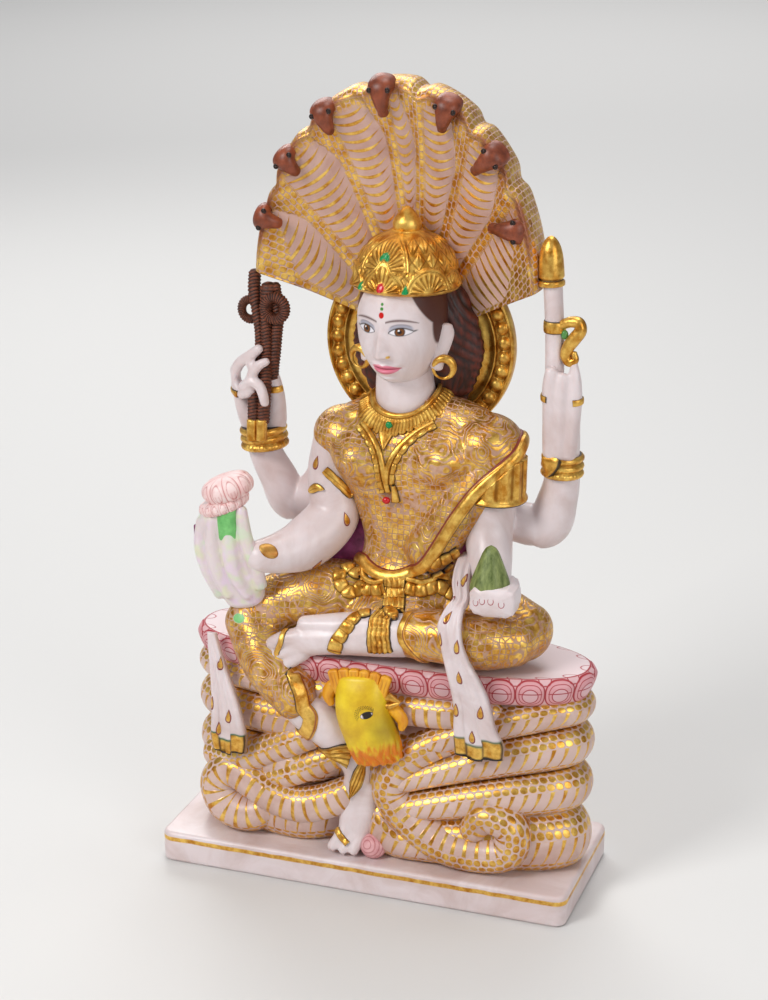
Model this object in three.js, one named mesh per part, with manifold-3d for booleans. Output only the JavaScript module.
// Seated four-armed Padmavati figure under a seven-headed serpent hood, carved with its coiled seat and
// base slab from one block of marble and painted. Millimetres, +Z up, the figure faces -Y, and the origin
// is the middle of the slab's underside.
import * as THREE from 'three';
import { mergeVertices } from 'three/addons/utils/BufferGeometryUtils.js';
import { LoftGeometry } from 'three/addons/geometries/LoftGeometry.js';
import Module from 'manifold-3d';

// Driving dimensions
const slabWidth = 244;
const slabDepth = 97.5;
const slabHeight = 18.7;
const slabCorner = 7;
const slabEdge = 2.4;

const seatX = 6.5;
const seatY = -4;
const seatHalfWidth = 105;
const seatHalfDepth = 25;
const seatSquareness = 2.4;
const coilBulge = 13;
const coilLevels = [{ z: 36, half: 18 }, { z: 68, half: 14 }, { z: 94, half: 13 }, { z: 116, half: 10 }];
const bandBottom = 122;
const bandTop = 139;
const petalCount = 24;
const seatSteps = 24;

const bodyX = 14;
const headX = 12;
const headY = -2;
const chinZ = 294;
const headHeight = 67;
const headHalfWidth = 23.5;
const headHalfDepth = 27;

const crownRim = 342;
const crownTop = 375.5;
const crownHalfWidth = 28.5;
const crownHalfDepth = 31;
const finialTop = 388;

const haloZ = 307;
const haloY = 26;
const haloOuter = 54.5;
const haloInner = 39.5;
const haloThick = 8;
const haloBeads = 13;

const hoodX = 5.5;
const hoodZ = 340;
const hoodHalfWidth = 82;
const hoodRise = 117;
const hoodRootZ = 308;
const hoodLobes = 7;
const hoodReach = THREE.MathUtils.degToRad(86);
const hoodFrontY = 23;
const hoodBackY = 32;
const hoodFrontLean = 27;
const hoodBackLean = 12;

const wasm = await Module();
wasm.setup();

const turn = 2 * Math.PI;
const across = new THREE.Vector3(1, 0, 0);
const forward = new THREE.Vector3(0, 1, 0);
const upward = new THREE.Vector3(0, 0, 1);

const signedPower = (value, power) => Math.sign(value) * Math.abs(value) ** power;
const mix = (a, b, t) => a + (b - a) * t;
const hump = (distance, width) => Math.exp(-((distance / width) ** 2));
const easeIn = (value, low, high) => THREE.MathUtils.smoothstep(value, low, high);

// A closed geometry becomes a solid: shared corners are merged, faces that shrink to a line at a pole are
// dropped, and a surface whose volume comes out negative is turned right side out
function solidOf(geometry) {
  const bare = new THREE.BufferGeometry();
  bare.setAttribute('position', geometry.getAttribute('position').clone());
  bare.setIndex(geometry.index);
  const merged = mergeVertices(bare, 1e-3);
  const vertices = merged.getAttribute('position').array;
  const all = merged.index.array;
  const triangles = [];
  let volume = 0;
  const corner = [new THREE.Vector3(), new THREE.Vector3(), new THREE.Vector3()];
  for (let i = 0; i < all.length; i += 3) {
    const [a, b, c] = [all[i], all[i + 1], all[i + 2]];
    if (a === b || b === c || c === a) {
      continue;
    }
    [a, b, c].forEach((index, k) => corner[k].fromArray(vertices, 3 * index));
    volume += corner[0].dot(corner[1].clone().cross(corner[2]));
    triangles.push(a, b, c);
  }
  if (volume < 0) {
    for (let i = 0; i < triangles.length; i += 3) {
      [triangles[i], triangles[i + 1]] = [triangles[i + 1], triangles[i]];
    }
  }
  const mesh = new wasm.Mesh({
    numProp: 3,
    vertProperties: new Float32Array(vertices),
    triVerts: new Uint32Array(triangles),
  });
  return new wasm.Manifold(mesh);
}

// One cross section: an oval of half width wide along side and half depth deep along up
function oval(centre, side, up, wide, deep, count, power = 1) {
  const points = [];
  for (let i = 0; i < count; i++) {
    const angle = turn * i / count;
    points.push(centre.clone()
      .addScaledVector(side, wide * signedPower(Math.cos(angle), power))
      .addScaledVector(up, deep * signedPower(Math.sin(angle), power)));
  }
  return points;
}

// A limb runs smoothly through stations [x, y, z, half width, half depth]; its section keeps its width
// along side as nearly as the path allows, and its ends are rounded, or flat where round is false
function limb(stations, { side = across, sides = 8, round = true, power = 1 } = {}) {
  const path = new THREE.CatmullRomCurve3(stations.map(([x, y, z]) => new THREE.Vector3(x, y, z)));
  const size = new THREE.CatmullRomCurve3(stations.map((s) => new THREE.Vector3(s[3], s[4], 0)));
  const count = stations.length - 1;
  const sections = [];
  const addSection = (t, shift, shrink) => {
    const tangent = path.getPoint(Math.min(t + 0.01, 1)).sub(path.getPoint(Math.max(t - 0.01, 0))).normalize();
    const crossing = side.clone().addScaledVector(tangent, -side.dot(tangent)).normalize();
    const up = tangent.clone().cross(crossing);
    const { x: wide, y: deep } = size.getPoint(t);
    const centre = path.getPoint(t).addScaledVector(tangent, shift * Math.min(wide, deep));
    sections.push(oval(centre, crossing, up, wide * shrink, deep * shrink, sides, power));
  };
  if (round) {
    addSection(0, -0.8, 0.5);
  }
  for (let i = 0; i <= count; i++) {
    addSection(i / count, 0, round && (i === 0 || i === count) ? 0.92 : 1);
  }
  if (round) {
    addSection(1, 0.8, 0.5);
  }
  return solidOf(new LoftGeometry(sections, { capStart: true, capEnd: true }));
}

// A blob is an oval ball with half sizes wide, deep and high
function blob([x, y, z], [wide, deep, high], { around = 8, rows = 4 } = {}) {
  const ball = new THREE.SphereGeometry(1, around, rows);
  ball.rotateX(Math.PI / 2);
  ball.scale(wide, deep, high);
  ball.translate(x, y, z);
  return solidOf(ball);
}

// A hoop lies round a limb: an oval band of half width wide and half depth deep about an axis, a little
// proud at the middle of its height
function hoop([x, y, z], axis, wide, deep, height, { proud = 1.2, around = 8 } = {}) {
  const way = new THREE.Vector3(...axis).normalize();
  const crossing = across.clone().addScaledVector(way, -across.dot(way)).normalize();
  const up = way.clone().cross(crossing);
  const sections = [[-0.5, 0], [0, proud], [0.5, 0]].map(([along, swell]) => {
    const middle = new THREE.Vector3(x, y, z).addScaledVector(way, along * height);
    return oval(middle, crossing, up, wide + swell, deep + swell, around);
  });
  return solidOf(new LoftGeometry(sections, { capStart: true, capEnd: true }));
}

// A ribbon hangs through stations [x, y, z, half width] with a constant thickness
function ribbon(stations, thick) {
  const flat = stations.map(([x, y, z, wide]) => [x, y, z, wide, thick / 2]);
  return limb(flat, { sides: 6, round: false, power: 0.6 });
}

function slab() {
  const wide = slabWidth / 2 - slabEdge;
  const deep = slabDepth / 2 - slabEdge;
  const round = slabCorner - slabEdge;
  const outline = new THREE.Shape();
  outline.moveTo(-wide + round, -deep);
  outline.absarc(wide - round, -deep + round, round, -Math.PI / 2, 0);
  outline.absarc(wide - round, deep - round, round, 0, Math.PI / 2);
  outline.absarc(-wide + round, deep - round, round, Math.PI / 2, Math.PI);
  outline.absarc(-wide + round, -deep + round, round, Math.PI, 1.5 * Math.PI);
  const block = new THREE.ExtrudeGeometry(outline, {
    depth: slabHeight - 2 * slabEdge,
    bevelThickness: slabEdge,
    bevelSize: slabEdge,
    bevelSegments: 1,
    curveSegments: 2,
  });
  block.translate(0, 0, slabEdge);
  return solidOf(block);
}

// Level rings of the seat: a squarish oval that is the seat's plan grown outwards by push
function seatRing(z, push, count, tuck = 0) {
  const points = [];
  for (let i = 0; i < count; i++) {
    const angle = turn * i / count;
    const x = (seatHalfWidth + push) * signedPower(Math.cos(angle), 2 / seatSquareness);
    const y = (seatHalfDepth + push) * signedPower(Math.sin(angle), 2 / seatSquareness);
    const hollow = y < 0 ? tuck * hump(x + 14, 17) : 0;
    points.push(new THREE.Vector3(seatX + x, seatY + y + hollow, z));
  }
  return points;
}

// The serpent's body wound four times round, with a hollow in front where the hanging foot stands
function coils() {
  const sections = [];
  for (const { z, half } of coilLevels) {
    for (const lift of [-58, 0, 58]) {
      const angle = THREE.MathUtils.degToRad(lift);
      const height = z + half * Math.sin(angle);
      const tuck = 15 * (1 - easeIn(height, 70, 112));
      sections.push(seatRing(height, coilBulge * Math.cos(angle), seatSteps, tuck));
    }
  }
  sections.unshift(seatRing(slabHeight - 2, 2, seatSteps, 15));
  sections.push(seatRing(bandBottom + 3, 5, seatSteps));
  return solidOf(new LoftGeometry(sections, { capStart: true, capEnd: true }));
}

// The lotus band round the top of the seat: an upright fluted rim, one flute to a petal
function lotusBand() {
  const count = 2 * petalCount;
  const notch = (points, depth) => points.map((point, i) => {
    const middle = new THREE.Vector3(seatX, seatY, point.z);
    const inwards = middle.sub(point).normalize();
    return i % 2 === 0 ? point.addScaledVector(inwards, depth) : point;
  });
  return solidOf(new LoftGeometry([
    notch(seatRing(bandBottom, 8, count), 1.5),
    notch(seatRing(bandTop - 5, 12.5, count), 1.8),
    seatRing(bandTop, 9.5, count),
  ], { capStart: true, capEnd: true }));
}

// The two loops of the serpent that lie in front of the winding, and one strand that crosses it
function loops() {
  const right = [[13, -31, 74, 9.5, 9], [16, -34, 52, 10.5, 10], [34, -34, 32, 11, 10.5],
    [62, -34, 29.5, 11, 10.5], [84, -33, 35, 10.5, 10.5], [87, -33, 49, 10, 10], [73, -34, 55, 9, 9.5],
    [65, -35, 44, 8, 8]];
  const left = [[-13, -31, 52, 9, 9.5], [-34, -32, 44, 11, 11], [-58, -32, 42, 11.5, 11.5],
    [-81, -29, 40, 13, 13], [-86, -27, 56, 12, 12], [-68, -29, 64, 10, 10]];
  const strand = [[-92, -25, 74, 9, 9], [-60, -33, 78, 9.5, 9.5], [-22, -32, 86, 9, 9]];
  return [
    limb(right, { side: forward }),
    limb(left, { side: forward }),
    limb(strand, { side: forward, sides: 6 }),
  ];
}

// The trunk is a stack of level ovals [z, centre y, half width, half depth], with the breast swelling in front
function trunk() {
  const levels = [[150, -2, 48, 27], [180, 0, 32, 22], [198, 3, 27, 18], [218, 3, 32, 19], [233, 3, 38, 20],
    [248, 3, 45, 20], [261, 5, 48, 19], [275, 7, 32, 13], [284, 6, 16, 12]];
  const breasts = [[-14, 250], [41, 255]];
  const sections = levels.map(([z, y, wide, deep]) => {
    const points = oval(new THREE.Vector3(bodyX + 1, y, z), across, forward, wide, deep, 14, 0.86);
    for (const point of points) {
      if (point.y < y) {
        const swell = breasts.map(([middle, high]) => hump(point.x - middle, 17) * hump(z - high, 15));
        point.y -= 12 * Math.max(...swell);
      }
    }
    return points;
  });
  return [
    solidOf(new LoftGeometry(sections, { capStart: true, capEnd: true })),
    limb([[bodyX - 1, 6, 274, 17, 15], [headX + 1, 3, 290, 14, 13], [headX, 2, 304, 14, 14]], { sides: 10 }),
    blob([-26, 4, 257], [19, 16, 20]),
    blob([57, 4, 260], [20, 17, 24]),
  ];
}

// The shawl over the breast ends in a raised border that falls from the shoulder to the belly and back
function shawl() {
  const border = [[76, 0, 259], [71, -13, 250], [58, -24, 233], [42, -28, 211], [30, -29, 194], [17, -30, 188],
    [3, -28, 193], [-6, -23, 206]];
  return [
    limb(border.map((place) => [...place, 3.6, 3.6]), { sides: 5 }),
    limb([[64, 2, 258, 15, 14], [52, -9, 232, 14, 13], [30, -12, 200, 14, 14]], { sides: 6 }),
  ];
}

function arms() {
  const lotusArm = [[-27, 3, 256, 15, 15], [-32, 0, 236, 13, 13], [-29, -4, 212, 15, 14], [-40, -18, 198, 15, 15],
    [-50, -30, 195, 12, 12], [-60, -40, 195, 9, 9]];
  const fruitArm = [[62, 1, 256, 16, 16], [63, -2, 236, 14, 14], [62, -5, 214, 13.5, 13], [66, -14, 199, 12, 12],
    [71, -26, 190, 10, 9]];
  const nooseArm = [[-30, 13, 244, 12, 9], [-48, 17, 214, 13, 11], [-62, 16, 209, 12, 11], [-69, 13, 224, 11, 10],
    [-75, 9, 240, 9.5, 9], [-76, 7, 252, 9, 8.5]];
  const goadArm = [[50, 13, 220, 12, 9], [74, 14, 213, 12, 11], [89, 15, 213, 13, 12], [96, 13, 230, 11, 10],
    [99, 10, 246, 9.5, 9], [99, 8, 256, 9, 8.5]];
  return [
    limb(lotusArm, { side: forward }),
    limb(fruitArm),
    limb(nooseArm, { side: forward }),
    limb(goadArm, { side: forward }),
    // the stone left standing behind the waist and under the rear arms
    blob([bodyX + 2, 12, 214], [70, 7, 27]),
    blob([bodyX - 7, 7, 187], [50, 10, 26]),
  ];
}

function finger(stations) {
  return limb(stations.map(([x, y, z, thick]) => [x, y, z, thick, thick]), { sides: 5 });
}

// The rear right hand closes round the noose: the thumb's side, the far edge and two bent fingers
function nooseHand() {
  return [
    limb([[-78, 7, 250, 9, 8], [-82, 6, 266, 10, 7], [-85, 4, 280, 8, 6], [-88, 1, 289, 5, 5]]),
    limb([[-72, 8, 250, 8, 8], [-67, 7, 266, 6.5, 6], [-65, 6, 284, 5, 5], [-67, 5, 292, 4.5, 4.5]]),
    finger([[-89, -1, 288, 4.5], [-82, -4, 297, 4.2], [-75, -6, 302, 3.8]]),
    finger([[-85, -3, 281, 4.4], [-76, -8, 286, 4.2], [-70, -9, 266, 3.8]]),
  ];
}

// The rear left hand holds the goad upright against its palm, one finger raised beside it
function goadHand() {
  return [
    limb([[99, 8, 252, 9, 8], [100, 6, 268, 10, 8], [100, 5, 286, 10, 7.5], [99, 4, 298, 8, 6.5]]),
    finger([[104, 3, 284, 5], [106, 1, 294, 4.6], [104, 0, 305, 3.6]]),
  ];
}

// A bud of pointed petals stands along a leaning stalk: an oval cup with flutes
function lotusBud() {
  const petals = 7;
  const tiers = [[-82, 219, 10, 0], [-81.5, 222, 15.5, 2], [-81, 226, 12.5, 1], [-80, 230, 16.5, 2.2],
    [-79, 238, 10, 0]];
  const sections = tiers.map(([x, z, reach, flute]) => {
    const lean = new THREE.Vector3(0.93, 0, 0.36);
    const points = oval(new THREE.Vector3(x, -38, z), lean, forward, 1, 0.72, 2 * petals);
    return points.map((point, i) => {
      const middle = new THREE.Vector3(x, -38, z);
      return point.sub(middle).multiplyScalar(reach - (i % 2) * flute).add(middle);
    });
  });
  return solidOf(new LoftGeometry(sections, { capStart: true, capEnd: true }));
}

// The front right hand stands on the knee as one upright block, and a lotus bud opens on top of it
function lotusHand() {
  const block = [[-71, -34, 168, 12, 9], [-75, -38, 182, 15.5, 11], [-80, -39, 200, 15.5, 11],
    [-83, -38, 220, 12.5, 10]];
  return [limb(block, { power: 0.8 }), lotusBud()];
}

// The front left hand lies open on the thigh under a pointed fruit
function fruitHand() {
  const cone = new THREE.ConeGeometry(11.5, 26, 8, 1);
  cone.rotateX(Math.PI / 2);
  cone.translate(73, -35, 201);
  return [
    limb([[74, -24, 187, 12, 8], [73, -34, 185, 14, 8], [73, -43, 183, 13.5, 8]], { power: 0.8 }),
    solidOf(cone),
  ];
}

function legs() {
  const foldedThigh = [[34, 2, 160, 24, 20], [62, -2, 161, 22, 19], [86, -10, 158, 17, 16.5]];
  const foldedShin = [[82, -20, 157, 15, 15], [66, -29, 157, 16, 15.5], [46, -31, 158, 15, 15],
    [27, -31, 157, 13, 13.5]];
  const raisedThigh = [[-4, -2, 161, 22, 23], [-36, -12, 163, 20, 22], [-64, -22, 156, 17, 18]];
  const hangingShin = [[-70, -26, 151, 17, 16], [-56, -36, 131, 17, 15.5], [-38, -41, 114, 16, 15],
    [-19, -40, 99, 14, 13]];
  return [
    limb(foldedThigh, { side: forward }),
    limb(foldedShin, { side: forward }),
    limb(raisedThigh, { side: forward }),
    limb(hangingShin, { side: forward }),
    // the lap between the thighs
    blob([bodyX, -12, 158], [40, 24, 19]),
  ];
}

function feet() {
  return [
    limb([[30, -31, 157, 12, 12.5], [8, -34, 155, 11, 13], [-16, -37, 151, 10.5, 12], [-40, -39, 146, 8, 11],
      [-51, -40, 143, 5, 9]], { side: forward }),
    limb([[-20, -39, 99, 11, 10], [-9, -36, 84, 9, 9], [-4, -33, 70, 8.5, 9], [-6, -31, 50, 9.5, 8],
      [-9, -33, 27, 10.5, 6.5]]),
  ];
}

// Two hanging cloths: over the raised knee, and from the waist across the folded shin
function sashes() {
  return [
    ribbon([[-76, -36, 170, 7], [-84, -41, 146, 9], [-81, -44, 118, 9.5], [-78, -43, 78, 10.5]], 6),
    ribbon([[52, -22, 190, 7], [53, -44, 176, 9], [58, -48, 150, 10], [66, -46, 120, 13], [71, -43, 95, 15]], 6),
  ];
}

// The face is a smooth egg with calm, regular features on the usual proportions: eyes at half the head's
// height, nose at a third of the way on to the chin, mouth below it
function head() {
  const rows = 11;
  const columns = 14;
  const sections = [];
  for (let i = 0; i <= rows; i++) {
    const rise = i / rows;
    const height = (1 - Math.cos(Math.PI * rise)) / 2;
    const round = Math.sin(Math.PI * Math.min(Math.max(rise, 0.05), 0.95)) ** 0.8;
    const jaw = mix(0.8, 1, easeIn(rise, 0, 0.5));
    const ring = [];
    for (let j = 0; j < columns; j++) {
      const angle = turn * (j + 0.5) / columns;
      const x = headHalfWidth * jaw * round * Math.cos(angle);
      let y = headHalfDepth * mix(0.86, 1, easeIn(rise, 0, 0.4)) * round * Math.sin(angle);
      if (y < 0) {
        y -= 5 * hump(x, 5) * hump(height - 0.38, 0.08);
        y += 2.4 * (hump(x - 9, 5.5) + hump(x + 9, 5.5)) * hump(height - 0.52, 0.07);
        y -= 1.6 * hump(x, 7) * hump(height - 0.25, 0.05) + 2 * hump(x, 7) * hump(height - 0.06, 0.07);
      }
      ring.push(new THREE.Vector3(headX + x, headY + y, chinZ + headHeight * height));
    }
    sections.push(ring);
  }
  return solidOf(new LoftGeometry(sections, { capStart: true, capEnd: true }));
}

function hairAndEars() {
  const parts = [
    blob([headX + 1, 14, 322], [35, 17, 33], { around: 10, rows: 6 }),
    limb([[headX + 2, 15, 328, 34, 12], [headX + 2, 16, 306, 38, 12], [headX + 3, 17, 286, 31, 10],
      [headX + 4, 18, 268, 19, 8]]),
  ];
  for (const flank of [-1, 1]) {
    const x = headX + flank * (headHalfWidth - 0.5);
    parts.push(limb([[x + flank, 3, 326, 3, 6.5], [x + flank * 2, 2, 316, 3, 6], [x + flank, 1, 303, 2.4, 3.6]], {
      sides: 6,
    }));
    const ring = new THREE.TorusGeometry(5.4, 1.9, 4, 8);
    ring.rotateX(Math.PI / 2);
    ring.rotateZ(flank * 0.35);
    ring.translate(x + flank * 2.5, -1, 300);
    parts.push(solidOf(ring));
  }
  return parts;
}

// A helmet crown: upright rim of petals, dome of overlapping leaves, and a two-stage finial. Its rim is
// higher in front than behind
function crown() {
  const profile = [[-6, 0.96, 0], [2, 1.05, 0], [6, 1, 0.02], [16, 0.96, 0.05], [25, 0.77, 0.04], [33.5, 0.3, 0]];
  const middle = 2;
  const dome = profile.map(([rise, reach, leaf]) => {
    const points = oval(new THREE.Vector3(0, 0, 0), across, forward, crownHalfWidth, crownHalfDepth, 18);
    return points.map((point, i) => {
      point.multiplyScalar(reach * (1 + (i % 2 === 0 ? leaf : -leaf)));
      const tilt = rise < 4 ? -0.12 * point.y : 0;
      return point.add(new THREE.Vector3(headX, middle, crownRim + rise + tilt));
    });
  });
  const tier = (bottom, top, wide) => limb([
    [headX, 0, bottom, wide, wide],
    [headX, 0, top, wide * 0.8, wide * 0.8],
  ]);
  return [
    solidOf(new LoftGeometry(dome, { capStart: true, capEnd: true })),
    tier(crownTop - 4, crownTop + 1, 10),
    tier(crownTop + 3, finialTop - 3.5, 5),
  ];
}

// The halo is a flat ring with a raised rim inside and outside and a row of beads between
function halo() {
  const middle = (haloOuter + haloInner) / 2;
  const half = (haloOuter - haloInner) / 2;
  const sections = [];
  for (let i = 0; i < 2 * haloBeads; i++) {
    const angle = turn * i / (2 * haloBeads);
    const bead = i % 2 === 0 ? 1.8 : -0.4;
    const rim = -haloThick / 2;
    const profile = [[-half, -rim], [-half, rim], [0, rim - bead], [half, rim], [half, -rim]];
    sections.push(profile.map(([out, y]) => new THREE.Vector3(
      headX + (middle + out) * Math.cos(angle),
      haloY + y,
      haloZ + (middle + out) * Math.sin(angle),
    )));
  }
  sections.push(sections[0]);
  return solidOf(new LoftGeometry(sections));
}

// Hood outline at a fan angle measured from straight up, and how near the angle is to a lobe's middle
function hoodEdge(angle) {
  const phase = Math.PI * hoodLobes * (angle + hoodReach) / (2 * hoodReach);
  const lobe = Math.abs(Math.sin(phase));
  const grow = 0.955 + 0.045 * lobe ** 0.7;
  return {
    x: hoodX + hoodHalfWidth * grow * Math.sin(angle),
    z: hoodZ + hoodRise * grow * Math.cos(angle),
    lobe,
  };
}

// The hood is a fan of seven lobes that leans forward and grows thicker towards its rim; both faces swell
// on each lobe
function hood() {
  const columns = 3 * hoodLobes;
  const share = [0.3, 0.65, 0.93];
  const sections = [];
  for (let i = 0; i <= columns; i++) {
    const { x, z, lobe } = hoodEdge(mix(-hoodReach, hoodReach, i / columns));
    const at = (s, y) => new THREE.Vector3(mix(headX, x, s), y, mix(hoodRootZ, z, s));
    const front = share.map((s) => at(s, hoodFrontY - hoodFrontLean * s ** 2 - 3 * lobe * s));
    const back = [0.3, 0.85].map((s) => at(s, hoodBackY - hoodBackLean * s ** 2 + 3 * lobe * s));
    const rim = [at(1, hoodFrontY - hoodFrontLean + 4), at(1, hoodBackY - hoodBackLean - 4)];
    sections.push([...front, ...rim, ...back.reverse()].reverse());
  }
  return solidOf(new LoftGeometry(sections, { capStart: true, capEnd: true }));
}

// A small cobra head rests on the rim of each lobe and looks outwards and down
function serpentHeads() {
  const heads = [];
  const y = hoodFrontY - hoodFrontLean;
  for (let i = 0; i < hoodLobes; i++) {
    const angle = mix(-hoodReach, hoodReach, (i + 0.5) / hoodLobes);
    const { x, z } = hoodEdge(angle);
    const place = (s, dy, wide, deep) => [mix(headX, x, s), y + dy, mix(hoodRootZ, z, s), wide, deep];
    heads.push(limb([place(0.97, 0, 7, 5), place(0.91, -6, 6.5, 4.5), place(0.84, -8, 3.5, 3.5)], {
      sides: 5,
      side: new THREE.Vector3(Math.cos(angle), 0, -Math.sin(angle)),
    }));
  }
  return heads;
}

// The noose is a twisted cord doubled through the hand, with two eyes above and a capped tail below
function noose() {
  const eyes = [[-79, 3, 324], [-65, 3, 326]].map(([x, y, z]) => {
    const ring = new THREE.TorusGeometry(5.2, 3.4, 4, 8);
    ring.rotateX(Math.PI / 2);
    ring.translate(x, y, z);
    return solidOf(ring);
  });
  return [
    limb([[-74, 1, 252, 8, 5], [-72, -1, 268, 8, 5.5], [-70, 0, 290, 6.5, 5.5], [-70, 2, 312, 7.5, 5.5],
      [-71, 4, 334, 6, 4.5], [-71, 5, 341, 5, 4]], { sides: 6 }),
    ...eyes,
    limb([[-77, -3, 250, 4.6, 4.5], [-77, -3, 261, 4.4, 4.5]], { sides: 6 }),
    limb([[-70, -3, 250, 4.4, 4.5], [-70, -3, 261, 4.2, 4.5]], { sides: 6 }),
  ];
}

// The goad is a staff with a pointed head, a collar and a curled hook
function goad() {
  const x = 93;
  const y = 4;
  const staff = [[x + 2, y, 250, 5, 5], [x + 1, y, 320, 5.2, 5.2], [x, y, 352, 5.2, 5.2]];
  const tip = [[x - 1.5, y, 352, 7.2, 6.5], [x - 1.5, y, 361, 6.6, 6], [x - 2, y, 374, 3.2, 3]];
  const hook = [[x + 4, y, 330], [x + 11, y, 331], [x + 15, y - 1, 326], [x + 11, y - 2, 318], [x + 9, y - 2, 311],
    [x + 14, y - 2, 308]];
  return [
    limb(staff, { sides: 6 }),
    limb(tip, { sides: 6 }),
    hoop([x, y, 330], [0, 0, 1], 6.4, 6.2, 7, { proud: 0.4, around: 6 }),
    limb(hook.map((place) => [...place, 2.8, 2.8]), { side: forward, sides: 5 }),
  ];
}

// The beast's head with a comb that hangs at the middle of the lotus band
function beastHead() {
  return [
    limb([[5, -44, 129, 13, 9], [5, -47, 116, 15.5, 12], [9, -46, 101, 13, 10], [13, -44, 89, 9, 7]], { sides: 10 }),
    limb([[5, -45, 126, 13, 6], [5, -45, 136, 15, 5]]),
    limb([[-4, -44, 127, 5, 5], [-12, -44, 119, 4, 4], [-11, -44, 109, 2.5, 3]], { sides: 5 }),
    limb([[14, -44, 129, 5, 5], [24, -44, 122, 4, 4], [25, -43, 110, 2.5, 3]], { sides: 5 }),
  ];
}

// Collar, the beaded strand that hangs in a V from it, belt with its two hanging ends, armlet, bracelets,
// shin cuff and anklet
function jewellery() {
  const strand = [[-7, -17, 266, 3, 3], [0, -20.5, 250, 3, 3], [11, -21.5, 229, 3.4, 3.4], [19, -20.5, 250, 3, 3],
    [27, -18, 268, 3, 3]];
  const belt = [];
  for (let i = 0; i <= 8; i++) {
    const swing = (i - 4) / 4;
    const drop = i % 2 === 0 ? 7.5 : 5.5;
    belt.push([bodyX + 2 + 32 * swing, -25 + 17 * swing ** 2, 184 - 3 * (1 - swing ** 2), drop, 4]);
  }
  return [
    hoop([headX + 2, -2.5, 280], [0.03, -0.45, 1], 29, 20.5, 8, { proud: 0.6, around: 12 }),
    limb(strand, { sides: 5, side: upward }),
    limb(belt, { sides: 5, side: upward }),
    limb([[17, -28, 186, 6, 5], [18, -38, 178, 6, 5], [13, -45, 166, 6, 4], [12, -47, 152, 6.5, 4]], { sides: 6 }),
    limb([[8, -40, 172, 4, 4], [-4, -46, 164, 4, 4], [-12, -48, 150, 4.5, 4]], { sides: 6 }),
    hoop([64, -2, 237], [0, 0, 1], 16, 15.5, 14),
    hoop([-76, 7, 249], [0, 0, 1], 11.4, 10.5, 12),
    hoop([99, 9, 251], [0, 0, 1], 11, 10, 13),
    hoop([-17, -39, 97], [-0.72, -0.1, 0.66], 14.5, 13.5, 5),
    hoop([-10, -36, 86], [-0.5, -0.1, 0.9], 10.8, 10.2, 9),
  ];
}

function budBall() {
  return blob([6, -34, slabHeight + 6.5], [7.4, 7.4, 7.4]);
}

const pieces = [
  slab(), coils(), lotusBand(), ...loops(), ...trunk(), ...shawl(), ...arms(), ...nooseHand(), ...goadHand(),
  ...lotusHand(), ...fruitHand(), ...legs(), ...feet(), ...sashes(), head(), ...hairAndEars(), ...crown(), halo(),
  hood(), ...serpentHeads(), ...noose(), ...goad(), ...beastHead(), ...jewellery(), budBall(),
];
const carving = pieces.reduce((whole, piece) => whole.add(piece));

function meshOf(solid) {
  const { vertProperties, triVerts } = solid.getMesh();
  const geometry = new THREE.BufferGeometry();
  geometry.setAttribute('position', new THREE.BufferAttribute(vertProperties, 3));
  geometry.setIndex(new THREE.BufferAttribute(triVerts, 1));
  return geometry;
}

const statue = new THREE.Mesh(meshOf(carving), new THREE.MeshStandardMaterial({
  color: 0xe2dbe3,
  roughness: 0.42,
  metalness: 0,
}));
statue.name = 'padmavati_statue';

const figure = new THREE.Group();
figure.add(statue);

export default figure;
